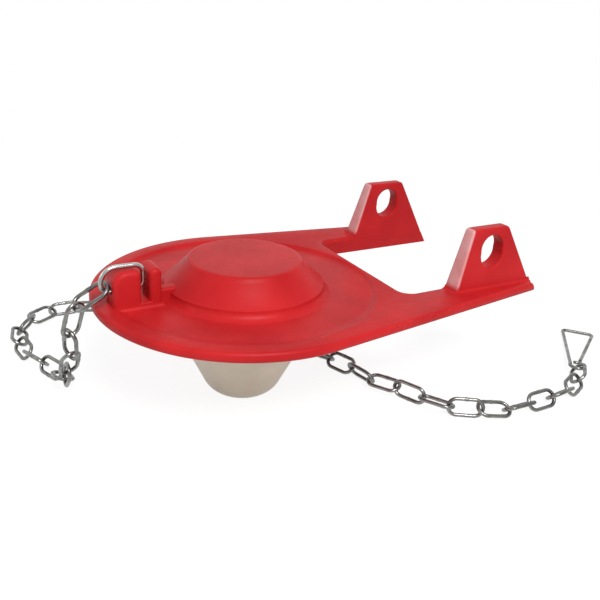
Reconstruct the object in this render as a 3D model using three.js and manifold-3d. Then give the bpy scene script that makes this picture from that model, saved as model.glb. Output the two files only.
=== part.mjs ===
// A toilet flapper: the red rubber valve disc of a cistern, with its float cup, lug ring, pull chain and hook.
// Millimetres, +Z up. The origin is the middle of the float cup's flat foot, which stands on the floor at z = 0.
// +X runs to the two hinge ears, -X to the lug that takes the pull chain.

import * as THREE from 'three';
import { mergeVertices } from 'three/addons/utils/BufferGeometryUtils.js';
import Module from 'manifold-3d';

const wasm = await Module();
wasm.setup();

// Driving dimensions, millimetres and degrees

const plateRadius = 45; // the round valve plate
const plateThickness = 3.1;
const lipWidth = 5.3; // the raised lip round the plate, which runs on into the arms' flat tops
const lipHeight = 1.1;
const lipSlope = 1; // how far the lip's inner side leans in
const edgeRound = 0.7;

const armEndWidth = 8.2; // the arms' ends, from the gap to the outer side
const armRibDepth = 2.8; // a rib under each arm, along the gap
const armRibWidth = 2.6;
const gapHalfWidth = 25.4; // half of the gap that the overflow pipe stands in
const gapFront = 41.2; // where the gap begins
const gapCornerRadius = 4;
const armCornerRadius = 1.4;

const hubBaseRadius = 23.8;
const hubTopRadius = 17.4;
const hubHeight = 8.5;
const hubWall = 2.4;
const hubTopRound = 1.4;
const hubFootRound = 2.6;

const earHeight = 18.8;
const earTopThickness = 4;
const earFootThickness = 5.7;
const earFootFront = 56;
const earTopFront = 61.3;
const earTopRear = 75.6;
const earFootRear = 86.4;
const earEdgeRound = 0.7;
const pegHoleX = 69.4;
const pegHoleHeight = 11.4; // the hole's middle, over the plate
const pegHoleWidth = 8.6;
const pegHoleTall = 10.2;

const lugWidth = 8.4;
const lugHeight = 10.2;
const lugSetBack = 4.4; // from the plate's front edge to the lug's front face
const lugFrontLength = 8;
const lugFrontRadius = 3.2;
const lugRearLength = 3.6;
const lugRearRadius = 1.3;
const lugSlot = 2.2;
const lugSlotFloor = 0.6; // over the plate
const lugEdgeRound = 1;
const ringHoleDiameter = 2.8;
const ringHoleHeight = 4.6; // the hole's middle, over the plate
const ringSide = -1.4; // how far the ring and its hole stand off the middle line
const webWidth = 3.6;
const webHeight = 3;

const sealRadius = 35; // the middle of the sealing ridge on the underside
const sealHeight = 1.8;
const sealFootWidth = 2.4;
const sealRootWidth = 6;

const cupDepth = 32.4; // from the plate's underside to the foot
const cupTopRadius = 25.5;
const cupFootRadius = 5.4;
const cupSlope = 0.48; // how much the wall comes in for each millimetre down
const cupWall = 1.6;
const collarRadius = 18.4;
const collarHeight = 5.4;
const beadHeight = 0.5; // how far the snap bead stands out of the collar

const ringWire = 1.35;
const ringCornerRadius = 2.4;
const ringShoulderRadius = 4.4; // over the lug's rounded front corner

const linkWire = 1.2;
const linkLength = 11.9; // outside
const linkWidth = 6.4; // outside
const linkRoll = 45; // each link leans this far, to one side and the other in turn
// The chain is twisted a little along its way: from the link with this number on, its links lean by
// so many degrees more, and the twist changes evenly in between.
const linkTwists = [[1, 130], [2, 115], [3, 110], [8, 180], [25, 90], [29, 32], [30, 35], [32, 100], [35, 90]];

const hookWire = 1.2;
const hookLength = 33; // from the eye's middle to the middle of the top bar
const hookWidth = 10.8; // between the middles of the two corners
const hookCornerRadius = 1.5;
const hookEyeRadius = 2.5; // to the middle of the wire

// Clearances between pieces that touch or run in each other

const seatGap = 0.3;
const linkGap = 0.4;

// Heights that follow

const undersideZ = cupDepth;
const topZ = undersideZ + plateThickness;
const fieldZ = topZ - lipHeight;

// The ears' rear ends lean, and the arms' ends carry on the same slope down to the underside.
const earFrontLean = (earTopFront - earFootFront) / earHeight;
const earRearLean = (earFootRear - earTopRear) / earHeight;
const armReach = earFootRear + earRearLean * plateThickness;
const armSpread = gapHalfWidth + armEndWidth; // the arms' outer corners, from the middle line
const lugFront = plateRadius - lugSetBack; // distance of the lug's front face from the middle

// Mesh and solid helpers

// A closed three.js geometry as a solid that can be joined and cut.
function solid(geometry) {
  const bare = geometry.index ? geometry.toNonIndexed() : geometry.clone();
  bare.deleteAttribute('normal');
  bare.deleteAttribute('uv');
  const merged = mergeVertices(bare, 1e-4);
  const index = [...merged.index.array];
  const triangles = [];
  for (let i = 0; i < index.length; i += 3) {
    const [a, b, c] = index.slice(i, i + 3);
    if (a !== b && b !== c && c !== a) triangles.push(a, b, c);
  }
  const mesh = new wasm.Mesh({
    numProp: 3,
    vertProperties: new Float32Array(merged.attributes.position.array),
    triVerts: new Uint32Array(triangles),
  });
  return new wasm.Manifold(mesh);
}

// The solid as a geometry again, with flat faces.
function geometryOf(body) {
  const mesh = body.getMesh();
  const geometry = new THREE.BufferGeometry();
  const positions = new Float32Array(mesh.numVert * 3);
  for (let i = 0; i < mesh.numVert; i += 1) {
    for (let k = 0; k < 3; k += 1) positions[3 * i + k] = mesh.vertProperties[i * mesh.numProp + k];
  }
  geometry.setAttribute('position', new THREE.BufferAttribute(positions, 3));
  geometry.setIndex([...mesh.triVerts]);
  geometry.computeVertexNormals();
  return geometry;
}

// Points along an arc in the plane, from one angle to another in degrees, both ends included.
function arc(centreX, centreY, radius, from, to, steps) {
  const points = [];
  for (let i = 0; i <= steps; i += 1) {
    const angle = THREE.MathUtils.degToRad(from + ((to - from) * i) / steps);
    points.push(new THREE.Vector2(centreX + radius * Math.cos(angle), centreY + radius * Math.sin(angle)));
  }
  return points;
}

// A body of revolution about Z from a profile of (radius, z) points that runs upwards on its outside.
function turned(profile, segments) {
  const geometry = new THREE.LatheGeometry(profile, segments);
  geometry.rotateX(Math.PI / 2);
  return geometry;
}

// A solid that follows an outline through a stack of levels. outlineAt(level) gives the same number
// of points at every level, so the levels join up as a loft with rounded or sloping sides.
function loft(outlineAt, levels) {
  const rows = levels.map((level) => outlineAt(level).map((p) => [p.x, p.y, level.z]));
  const count = rows[0].length;
  const index = [];
  for (let row = 0; row + 1 < rows.length; row += 1) {
    for (let i = 0; i < count; i += 1) {
      const a = row * count + i;
      const b = row * count + ((i + 1) % count);
      index.push(a, b, b + count, a, b + count, a + count);
    }
  }
  const last = (rows.length - 1) * count;
  const bottom = THREE.ShapeUtils.triangulateShape(outlineAt(levels[0]), []);
  const top = THREE.ShapeUtils.triangulateShape(outlineAt(levels[levels.length - 1]), []);
  for (const [a, b, c] of bottom) index.push(c, b, a);
  for (const [a, b, c] of top) index.push(last + a, last + b, last + c);
  const geometry = new THREE.BufferGeometry();
  geometry.setAttribute('position', new THREE.Float32BufferAttribute(rows.flat(2), 3));
  geometry.setIndex(index);
  return geometry;
}

// A plate cut to an outline in the X-Z plane, standing along Y from yFrom to yTo, with rounded rims.
function uprightPlate(shape, yFrom, yTo, round) {
  const geometry = new THREE.ExtrudeGeometry(shape, {
    depth: yTo - yFrom - 2 * round,
    bevelEnabled: round > 0,
    bevelThickness: round,
    bevelSize: round,
    bevelOffset: -round,
    bevelSegments: 2,
    curveSegments: 3,
  });
  geometry.rotateX(Math.PI / 2);
  geometry.translate(0, yTo - round, 0);
  return geometry;
}

// A closed loop of wire through the given points, one ring of the section at each point.
class LoopCurve extends THREE.CatmullRomCurve3 {
  getPointAt(u, target) {
    return this.getPoint(u, target);
  }

  getTangentAt(u, target) {
    return this.getTangent(u, target);
  }
}

function closedWire(points, wire, sides) {
  const curve = new LoopCurve(points, true, 'centripetal');
  return new THREE.TubeGeometry(curve, points.length, wire / 2, sides, true);
}

// The body's outline, seen from above

// The outer sides of the arms are tangents of the plate: the angle where they leave it.
const tangentAngle = THREE.MathUtils.radToDeg(
  Math.atan2(armSpread, armReach) + Math.acos(plateRadius / Math.hypot(armReach, armSpread)),
);

// Where a line that lies inset from an arm's outer side stands off the middle line, at a given x.
function armSideAt(x, inset) {
  const angle = THREE.MathUtils.degToRad(tangentAngle);
  return (plateRadius - inset - x * Math.cos(angle)) / Math.sin(angle);
}

// A closed outline, anticlockwise, from its far half, which starts on the middle line at the front.
function mirrored(far) {
  const near = far.slice(1).map((p) => new THREE.Vector2(p.x, -p.y));
  return [...far.slice().reverse(), ...near];
}

// Plate and arms in one outline, drawn in by inset. gapInset does the same for the sides of the gap
// between the arms, and reach is where the arms end.
function bodyOutline(inset, gapInset, reach) {
  const cornerX = reach - armCornerRadius;
  const outerCornerY = armSideAt(cornerX, armCornerRadius);
  const innerCornerY = gapHalfWidth + armCornerRadius;
  const round = armCornerRadius - inset;
  const far = [
    ...arc(0, 0, plateRadius - inset, 180, tangentAngle, 22),
    ...arc(cornerX, outerCornerY, round, tangentAngle, 0, 4),
    ...arc(cornerX, Math.min(innerCornerY, outerCornerY), armCornerRadius - gapInset, 0, -90, 4),
    ...arc(gapFront + gapCornerRadius, gapHalfWidth - gapCornerRadius, gapCornerRadius + gapInset, 90, 180, 6),
  ];
  return mirrored(far);
}

// The red rubber moulding

function plateSolid() {
  const levels = [
    { z: undersideZ, inset: edgeRound },
    { z: undersideZ + edgeRound, inset: 0 },
    { z: topZ - edgeRound, inset: 0 },
    { z: topZ - edgeRound * 0.3, inset: edgeRound * 0.3 },
    { z: topZ, inset: edgeRound },
  ];
  return solid(loft(({ inset }) => bodyOutline(inset, inset, armReach), levels));
}

// What is taken out of the plate's top to leave the lip: a shallow round with a sloping side.
function fieldSolid() {
  const crest = plateRadius - lipWidth;
  const past = 1;
  const profile = [
    new THREE.Vector2(0, fieldZ),
    new THREE.Vector2(crest - lipSlope, fieldZ),
    new THREE.Vector2(crest, topZ),
    new THREE.Vector2(crest, topZ + past),
    new THREE.Vector2(0, topZ + past),
  ];
  return solid(turned(profile, 64));
}

// The rib under the far or the near arm: it follows the gap's side from the front to the arm's end.
function armRib(side) {
  const front = gapFront - armRibWidth;
  const low = undersideZ - armRibDepth;
  const shape = new THREE.Shape();
  shape.moveTo(front, undersideZ + 1);
  shape.lineTo(front + armRibDepth * 2, low);
  shape.lineTo(armReach + armRibDepth * earRearLean, low);
  shape.lineTo(armReach - earRearLean, undersideZ + 1);
  shape.closePath();
  const rib = uprightPlate(shape, gapHalfWidth + 0.05, gapHalfWidth + armRibWidth, 0.4);
  if (side < 0) rib.translate(0, -2 * gapHalfWidth - armRibWidth - 0.05, 0);
  return solid(rib);
}

// The hub from outside: a foot rounding, a slightly hollow flank and a rounded top edge.
function hubSolid() {
  const top = topZ + hubHeight;
  const sunk = 0.6;
  const flankLow = new THREE.Vector2(hubBaseRadius, fieldZ + hubFootRound);
  const flankHigh = new THREE.Vector2(hubTopRadius + hubTopRound * 0.3, top - hubTopRound);
  const bend = new THREE.Vector2(hubBaseRadius - 1.6, fieldZ + hubFootRound + 1);
  const flank = new THREE.QuadraticBezierCurve(flankLow, bend, flankHigh).getPoints(4);
  const profile = [
    new THREE.Vector2(0, fieldZ - sunk),
    new THREE.Vector2(hubBaseRadius + hubFootRound, fieldZ - sunk),
    ...arc(hubBaseRadius + hubFootRound, fieldZ + hubFootRound, hubFootRound, 270, 180, 4),
    ...flank.slice(1),
    ...arc(hubTopRadius - hubTopRound, top - hubTopRound, hubTopRound, 30, 90, 3),
    new THREE.Vector2(0, top),
  ];
  return solid(turned(profile, 40));
}

// The space in the hub that takes the float cup's collar and its snap bead.
function hubHollow() {
  const hole = collarRadius + seatGap;
  const beadZ = undersideZ + collarHeight * 0.5;
  const ceiling = topZ + hubHeight - hubWall;
  const profile = [
    new THREE.Vector2(0, undersideZ - 3),
    new THREE.Vector2(hole, undersideZ - 3),
    new THREE.Vector2(hole, beadZ - 1),
    new THREE.Vector2(hole + beadHeight, beadZ),
    new THREE.Vector2(hole, beadZ + 1),
    new THREE.Vector2(hole, undersideZ + collarHeight + seatGap),
    new THREE.Vector2(hubTopRadius - hubWall, ceiling),
    new THREE.Vector2(0, ceiling),
  ];
  return solid(turned(profile, 32));
}

// The ridge under the plate that closes the valve seat: a ring with tapered sides and a flat face.
function sealSolid() {
  const face = undersideZ - sealHeight;
  const profile = [
    new THREE.Vector2(sealRadius - sealRootWidth / 2, undersideZ + 0.5),
    new THREE.Vector2(sealRadius - sealFootWidth / 2, face),
    new THREE.Vector2(sealRadius + sealFootWidth / 2, face),
    new THREE.Vector2(sealRadius + sealRootWidth / 2, undersideZ + 0.5),
    new THREE.Vector2(sealRadius - sealRootWidth / 2, undersideZ + 0.5),
  ];
  return solid(turned(profile, 36));
}

// The outline of the far ear at a height over the plate's top, drawn in by inset. The inner face is
// upright and flush with the arm, and the outer face leans in towards the thinner top.
function earOutline(rise, inset) {
  const t = rise / earHeight;
  const round = earEdgeRound;
  const front = earFootFront + earFrontLean * rise + inset + round;
  const rear = earFootRear - earRearLean * rise - inset - round;
  const inner = gapHalfWidth + inset + round;
  const thickness = earFootThickness + (earTopThickness - earFootThickness) * t;
  const outer = gapHalfWidth + thickness - inset - round;
  return [
    ...arc(front, inner, round, 180, 270, 2),
    ...arc(rear, inner, round, 270, 360, 2),
    ...arc(rear, outer, round, 0, 90, 2),
    ...arc(front, outer, round, 90, 180, 2),
  ];
}

// One hinge ear, with an oblong hole for the overflow pipe's peg.
function earSolid(side) {
  const sunk = -1.5;
  const levels = [
    { z: topZ + sunk, rise: sunk, inset: 0 },
    { z: topZ + earHeight - earEdgeRound, rise: earHeight - earEdgeRound, inset: 0 },
    { z: topZ + earHeight - earEdgeRound * 0.3, rise: earHeight, inset: earEdgeRound * 0.3 },
    { z: topZ + earHeight, rise: earHeight, inset: earEdgeRound },
  ];
  const outlineAt = (level) => {
    const outline = earOutline(level.rise, level.inset);
    return side > 0 ? outline : outline.map((p) => new THREE.Vector2(p.x, -p.y)).reverse();
  };
  const hole = new THREE.Shape();
  const radius = pegHoleWidth / 2;
  const rise = (pegHoleTall - pegHoleWidth) / 2;
  const holeZ = topZ + pegHoleHeight;
  hole.absarc(pegHoleX, holeZ + rise, radius, 0, Math.PI, false);
  hole.absarc(pegHoleX, holeZ - rise, radius, Math.PI, 2 * Math.PI, false);
  hole.closePath();
  const reach = gapHalfWidth + 15;
  const through = side > 0 ? uprightPlate(hole, 10, reach, 0) : uprightPlate(hole, -reach, -10, 0);
  return solid(loft(outlineAt, levels)).subtract(solid(through));
}

// What the arms' ends lose to the ears' slope.
function armEndCut() {
  const shape = new THREE.Shape();
  const low = undersideZ - armRibDepth - 1;
  shape.moveTo(armReach + earRearLean * (undersideZ - low), low);
  shape.lineTo(armReach + 20, low);
  shape.lineTo(armReach + 20, topZ + 1);
  shape.lineTo(earFootRear - earRearLean, topZ + 1);
  shape.closePath();
  return solid(uprightPlate(shape, -armSpread - 10, armSpread + 10, 0));
}

// A block that stands on the plate with its two top corners rounded, as a side view.
function blockShape(xFrom, xTo, height, frontRadius, rearRadius) {
  const base = fieldZ - 1;
  const top = topZ + height;
  const shape = new THREE.Shape();
  shape.moveTo(xFrom, base);
  shape.lineTo(xTo, base);
  shape.lineTo(xTo, top - rearRadius);
  shape.absarc(xTo - rearRadius, top - rearRadius, rearRadius, 0, Math.PI / 2, false);
  shape.lineTo(xFrom + frontRadius, top);
  shape.absarc(xFrom + frontRadius, top - frontRadius, frontRadius, Math.PI / 2, Math.PI, false);
  shape.closePath();
  return shape;
}

// The lug: a front block with the ring's hole, a slot, a rear block, and a web back to the hub.
function lugSolid() {
  const half = lugWidth / 2;
  const slotFront = -lugFront + lugFrontLength;
  const slotRear = slotFront + lugSlot;
  const rearEnd = slotRear + lugRearLength;
  const front = blockShape(-lugFront, slotFront, lugHeight, lugFrontRadius, lugRearRadius);
  const rear = blockShape(slotRear, rearEnd, lugHeight, lugRearRadius, lugRearRadius);
  const floor = blockShape(slotFront - 1, slotRear + 1, lugSlotFloor, 0.2, 0.2);
  const web = blockShape(rearEnd - 1, -hubTopRadius, webHeight, lugRearRadius, lugRearRadius);
  const hole = new THREE.CylinderGeometry(ringHoleDiameter / 2, ringHoleDiameter / 2, lugFrontLength + 2, 16);
  hole.rotateZ(Math.PI / 2);
  hole.translate(slotFront - lugFrontLength / 2, ringSide, topZ + ringHoleHeight);
  return solid(uprightPlate(front, -half, half, lugEdgeRound))
    .subtract(solid(hole))
    .add(solid(uprightPlate(rear, -half, half, lugEdgeRound)))
    .add(solid(uprightPlate(floor, -half, half, 0)))
    .add(solid(uprightPlate(web, -webWidth / 2, webWidth / 2, lugEdgeRound)));
}

function flapperBody() {
  return geometryOf(
    plateSolid()
      .subtract(fieldSolid())
      .add(hubSolid())
      .add(lugSolid())
      .add(earSolid(1))
      .add(earSolid(-1))
      .add(armRib(1))
      .add(armRib(-1))
      .add(sealSolid())
      .subtract(armEndCut())
      .subtract(hubHollow()),
  );
}

// The float cup: a thin tapered shell that opens upwards, with a shoulder under the plate, a collar
// that goes up into the hub, and a snap bead round the collar.
function cupProfile() {
  const shoulderZ = undersideZ - seatGap;
  const lean = THREE.MathUtils.radToDeg(Math.atan(cupSlope));
  const cosine = Math.cos(THREE.MathUtils.degToRad(lean));
  const reach = cupTopRadius - cupSlope * shoulderZ;
  const cornerRadius = (reach - cupFootRadius) / (1 / cosine - cupSlope);
  const corner = (radius) => arc(cupFootRadius, cornerRadius, radius, -lean, -90, 5).reverse();
  const wallTop = shoulderZ - cupWall * 1.5;
  const outer = corner(cornerRadius);
  const inner = corner(cornerRadius - cupWall).reverse();
  const beadZ = undersideZ + collarHeight * 0.5;
  const innerWall = (z) => cupTopRadius - cupSlope * (shoulderZ - z) - cupWall / cosine;
  return [
    new THREE.Vector2(0, 0),
    ...outer,
    new THREE.Vector2(cupTopRadius, shoulderZ - 0.4),
    new THREE.Vector2(cupTopRadius - 0.4, shoulderZ),
    new THREE.Vector2(collarRadius, shoulderZ),
    new THREE.Vector2(collarRadius, beadZ - 1),
    new THREE.Vector2(collarRadius + beadHeight, beadZ),
    new THREE.Vector2(collarRadius, beadZ + 1),
    new THREE.Vector2(collarRadius, undersideZ + collarHeight),
    new THREE.Vector2(collarRadius - cupWall, undersideZ + collarHeight),
    new THREE.Vector2(collarRadius - cupWall, wallTop + 1),
    new THREE.Vector2(Math.min(collarRadius - cupWall + 1, innerWall(wallTop)), wallTop),
    ...inner,
    new THREE.Vector2(0, cupWall),
  ];
}

// The wire ring in the lug: a rounded rectangle in the X-Z plane that goes through the front block's
// hole, up the slot and back over the block's top.
const ringRight = -lugFront + lugFrontLength + lugSlot / 2;
const ringLeft = -lugFront - 2 * seatGap - linkWire - ringWire / 2 - 0.1;
const ringBottom = topZ + ringHoleHeight - 0.3;
const ringTop = topZ + lugHeight + seatGap + ringWire / 2;

function ringPoints() {
  const r = ringCornerRadius;
  const shoulder = ringShoulderRadius;
  const corners = [
    ...arc(ringRight - r, ringTop - r, r, 0, 90, 3),
    ...arc(ringLeft + shoulder, ringTop - shoulder, shoulder, 90, 180, 3),
    ...arc(ringLeft + r, ringBottom + r, r, 180, 270, 3),
    ...arc(ringRight - r, ringBottom + r, r, 270, 360, 3),
  ];
  return corners.map((p) => new THREE.Vector3(p.x, ringSide, p.y));
}

// The pull chain

// The height of a leaning link's middle line when its lower side touches the floor.
const linkRadius = (linkWidth - linkWire) / 2;
const chainZ = linkRadius * Math.sin(THREE.MathUtils.degToRad(linkRoll)) + linkWire / 2;
const linkPitch = linkLength - 2 * linkWire - linkGap;

// One link lies along X in the X-Y plane: two half circles with straight sides.
function linkPoints() {
  const end = (linkLength - linkWidth) / 2;
  const loop = [
    ...arc(end, 0, linkRadius, -90, 90, 6),
    ...arc(-end, 0, linkRadius, 90, 270, 6),
  ];
  return loop.map((p) => new THREE.Vector3(p.x, p.y, 0));
}

// The first link hangs in the ring's lower front corner and pulls forwards and down by this angle.
const firstPull = THREE.MathUtils.degToRad(29);

function chainStart() {
  const reach = ringCornerRadius - ringWire / 2 - linkGap / 2;
  const x = ringLeft + ringCornerRadius - reach * Math.cos(firstPull);
  const z = ringBottom + ringCornerRadius - reach * Math.sin(firstPull);
  return [x, ringSide, z];
}

// The way the chain lies, chosen by hand: off the lug over the plate's edge, down to the floor, round
// to the far side, back under the plate and out to the near side. X is counted from the plate's front
// edge, so that the chain stays with its lug.
const chainWay = [
  [-0.6, -0.7, topZ + 3.4],
  [-4.6, 0.2, topZ + 0.9],
  [-6.4, 1.8, topZ - 7],
  [-6, 5.4, topZ - 16],
  [-6, 10.4, topZ - 23.5],
  [-6, 17, topZ - 30],
  [-5.4, 25, chainZ + 0.5],
  [-7.4, 31, chainZ],
  [-10.6, 38.3, chainZ],
  [-12.8, 46, chainZ],
  [-13.4, 54, chainZ],
  [-11, 62.6, chainZ],
  [-5.4, 69.4, chainZ],
  [2.6, 73.6, chainZ],
  [11, 73.2, chainZ],
  [20.6, 69, chainZ],
  [40.2, 49.4, chainZ],
  [64, 19, chainZ],
  [76.5, 4.5, chainZ],
  [80.4, -3.8, chainZ],
  [81.8, -13, chainZ],
  [84.4, -20.8, chainZ],
  [88.6, -27.6, chainZ],
  [92.2, -36.6, chainZ],
  [97.6, -43.6, chainZ],
  [106, -47.6, chainZ],
  [115, -49.8, chainZ],
  [125.1, -50.3, chainZ],
  [135.4, -50, chainZ],
  [144.4, -47.6, chainZ],
  [150.6, -43.8, chainZ],
  [156.6, -37.8, chainZ],
];

const chainRoute = [chainStart(), ...chainWay.map(([x, y, z]) => [x - plateRadius, y, z])];

// How far a link leans about its own length, in degrees. Neighbours lean about a right angle apart.
function linkLean(number) {
  const lean = number % 2 === 1 ? -linkRoll : linkRoll;
  const next = linkTwists.findIndex(([from]) => from >= number);
  if (next === -1) return lean + linkTwists[linkTwists.length - 1][1];
  if (next === 0) return lean + linkTwists[0][1];
  const [fromA, twistA] = linkTwists[next - 1];
  const [fromB, twistB] = linkTwists[next];
  return lean + twistA + ((twistB - twistA) * (number - fromA)) / (fromB - fromA);
}

// The height of a lying link's middle line when its lower side touches the floor.
function restHeight(number) {
  return linkRadius * Math.abs(Math.sin(THREE.MathUtils.degToRad(linkLean(number)))) + linkWire / 2;
}

// The joints between links: points on the route one pitch apart, measured straight. A joint on the
// floor is as high as the more upright of its two links.
function chainJoints() {
  const route = new THREE.CatmullRomCurve3(chainRoute.map((p) => new THREE.Vector3(...p)), false, 'centripetal');
  const fine = route.getSpacedPoints(3000);
  const joints = [fine[0]];
  for (const point of fine) {
    if (point.distanceTo(joints[joints.length - 1]) >= linkPitch) joints.push(point);
  }
  joints.forEach((joint, i) => {
    const rest = i === joints.length - 1 ? restHeight(i) : Math.max(restHeight(i), restHeight(i + 1));
    if (joint.z < chainZ + 0.3) joint.z = rest;
  });
  return joints;
}

const joints = chainJoints();

// Each link's frame: along it, across it and square to both. The cross direction is carried from link
// to link without twisting, starting from the floor's normal at the hook's end.
function linkFrames() {
  const frames = [];
  let up = new THREE.Vector3(0, 0, 1);
  for (let i = joints.length - 2; i >= 0; i -= 1) {
    const along = joints[i + 1].clone().sub(joints[i]).normalize();
    up = up.clone().addScaledVector(along, -up.dot(along)).normalize();
    const side = new THREE.Vector3().crossVectors(up, along);
    frames.unshift({ along, side, up, middle: joints[i].clone().lerp(joints[i + 1], 0.5) });
  }
  return frames;
}

const frames = linkFrames();

// The hook: an eye on the last link and a long triangle of the same wire, bent flat.

// A curve made of straight and round stretches, in the plane.
function hookPath() {
  const half = hookWidth / 2;
  const r = hookCornerRadius;
  const eye = hookEyeRadius;
  const path = new THREE.Path();
  path.absarc(0, 0, eye, THREE.MathUtils.degToRad(28), THREE.MathUtils.degToRad(-290), true);
  path.lineTo(hookLength - r, half);
  path.absarc(hookLength - r, half - r, r, Math.PI / 2, 0, true);
  path.lineTo(hookLength, -half + r);
  path.absarc(hookLength - r, -half + r, r, 0, -Math.PI / 2, true);
  path.lineTo(eye + 1.8, -0.9);
  return path;
}

function hookGeometry() {
  const points = hookPath().getPoints(7).map((p) => new THREE.Vector3(p.x, p.y, 0));
  const curve = new THREE.CatmullRomCurve3(points, false, 'centripetal');
  const section = new THREE.Shape();
  section.absarc(0, 0, hookWire / 2, 0, 2 * Math.PI, false);
  return new THREE.ExtrudeGeometry(section, { steps: 42, extrudePath: curve, curveSegments: 3 });
}

// Materials

const redRubber = new THREE.MeshStandardMaterial({ color: 0xc92f37, roughness: 0.5, metalness: 0 });
const floatPlastic = new THREE.MeshStandardMaterial({ color: 0xc9bda8, roughness: 0.4, metalness: 0 });
const steelWire = new THREE.MeshStandardMaterial({ color: 0xa9abad, roughness: 0.3, metalness: 1 });

// The assembly

const flapper = new THREE.Group();

function addPiece(name, geometry, material) {
  const mesh = new THREE.Mesh(geometry, material);
  mesh.name = name;
  flapper.add(mesh);
  return mesh;
}

addPiece('flapper_body', flapperBody(), redRubber);
addPiece('float_cup', turned(cupProfile(), 30), floatPlastic);
addPiece('lug_ring', closedWire(ringPoints(), ringWire, 6), steelWire);

const linkGeometry = closedWire(linkPoints(), linkWire, 6);
frames.forEach((frame, i) => {
  const link = addPiece(`chain_link_${String(i + 1).padStart(2, '0')}`, linkGeometry, steelWire);
  const roll = THREE.MathUtils.degToRad(linkLean(i + 1));
  const across = frame.side.clone().multiplyScalar(Math.cos(roll)).addScaledVector(frame.up, Math.sin(roll));
  const square = new THREE.Vector3().crossVectors(frame.along, across);
  link.quaternion.setFromRotationMatrix(new THREE.Matrix4().makeBasis(frame.along, across, square));
  link.position.copy(frame.middle);
});

// The hook's eye goes round the end of the last link, and its top bar comes down to the floor.
const lastJoint = joints[joints.length - 1];
const lastAlong = frames[frames.length - 1].along;
const hook = addPiece('chain_hook', hookGeometry(), steelWire);
const eyeReach = hookEyeRadius - (linkWire + linkGap) / 2;
const hookYaw = Math.atan2(lastAlong.y, lastAlong.x);
const hookPitch = Math.asin((lastJoint.z - hookWire / 2) / (hookLength + eyeReach));
hook.rotation.set(0, hookPitch, hookYaw, 'ZYX');
hook.position.copy(lastJoint).addScaledVector(lastAlong, eyeReach);
hook.position.z = lastJoint.z - eyeReach * Math.sin(hookPitch);

export default flapper;
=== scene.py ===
# %% [markdown]
# # A toilet flapper, from the rubber disc to the pull chain
# The real object is the valve of a cistern: a red rubber disc that closes the flush opening, with a
# hollow float under it that keeps it open while the water runs out. Two ears hook onto the overflow pipe,
# and a steel chain with a long hook goes up to the flush lever. The packed CAD model is the fixed frame.
# Every piece made here lies on it, in the same place, in metres.

import bpy
import numpy as np
from mathutils import Matrix


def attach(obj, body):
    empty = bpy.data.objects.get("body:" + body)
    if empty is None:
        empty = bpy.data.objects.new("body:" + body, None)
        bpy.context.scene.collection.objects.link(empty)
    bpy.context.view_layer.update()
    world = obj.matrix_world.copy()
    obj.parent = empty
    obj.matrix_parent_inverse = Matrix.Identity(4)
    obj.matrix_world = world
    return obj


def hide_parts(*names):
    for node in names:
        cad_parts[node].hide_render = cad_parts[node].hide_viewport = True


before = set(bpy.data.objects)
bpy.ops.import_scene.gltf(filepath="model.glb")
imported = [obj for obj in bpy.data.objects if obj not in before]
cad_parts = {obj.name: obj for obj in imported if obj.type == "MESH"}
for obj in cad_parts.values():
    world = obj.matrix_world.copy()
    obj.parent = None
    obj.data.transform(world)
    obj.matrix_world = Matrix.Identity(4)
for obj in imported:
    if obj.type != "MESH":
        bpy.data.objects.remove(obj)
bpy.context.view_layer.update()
MM = 0.001

# %% [markdown]
# ## Camera
# The camera stands in front of the disc's near side and looks down at about 24 degrees. Its place came
# from matching the round plate, the hub and the two ears with the photograph. It is made first, as a
# matrix whose columns are the picture's right, its up and the way back from the object.

# %% Camera
CAMERA_PLACE = np.array([-86.68, -179.65, 118.03]) * MM
CAMERA_YAW, CAMERA_PITCH, CAMERA_ROLL = np.radians([30.65, -23.62, 3.43])
LENS_MM, SENSOR_MM = 42.96, 36.0


def camera_axes(yaw, pitch, roll):
    """Right, up and back. Yaw and pitch give the view direction, and roll turns right and up about it."""
    forward = np.array([np.sin(yaw) * np.cos(pitch), np.cos(yaw) * np.cos(pitch), np.sin(pitch)])
    level = np.array([np.cos(yaw), -np.sin(yaw), 0.0])
    upright = np.cross(level, forward)
    right = level * np.cos(roll) + upright * np.sin(roll)
    up = upright * np.cos(roll) - level * np.sin(roll)
    return right, up, -forward


camera_data = bpy.data.cameras.new("camera")
camera_data.lens, camera_data.sensor_width = LENS_MM, SENSOR_MM
camera_data.sensor_fit = "HORIZONTAL"
camera_data.clip_start, camera_data.clip_end = 0.005, 20.0
camera = bpy.data.objects.new("camera", camera_data)
turn = np.eye(4)
turn[:3, :3] = np.column_stack(camera_axes(CAMERA_YAW, CAMERA_PITCH, CAMERA_ROLL))
turn[:3, 3] = CAMERA_PLACE
camera.matrix_world = Matrix(turn.tolist())
bpy.context.scene.collection.objects.link(camera)
bpy.context.scene.camera = camera
bpy.context.scene.view_settings.view_transform = "Standard"
print("camera at", CAMERA_PLACE)

# %% [markdown]
# ## Surfaces from numbers
# Every new piece is a grid of points, worked out as whole arrays. A row is one closed outline and the
# next row is the same outline a little further on, so four neighbours make one face. Where the last row
# joins the first again the grid is a ring, and otherwise both ends are closed with one flat face each.


# %% Grids into meshes
def grid_faces(rows, columns, close_rows=False):
    """Faces of a grid whose point (i, j) has the number i * columns + j: each joins (i, j), (i, j + 1),
    (i + 1, j + 1) and (i + 1, j). The last column joins the first, and so do the rows if close_rows."""
    i = np.arange(rows if close_rows else rows - 1)[:, None]
    j = np.arange(columns)[None, :]
    down, across = (i + 1) % rows, (j + 1) % columns
    corners = [i * columns + j, i * columns + across, down * columns + across, down * columns + j]
    return np.stack(np.broadcast_arrays(*corners), axis=-1).reshape(-1, 4)


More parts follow.
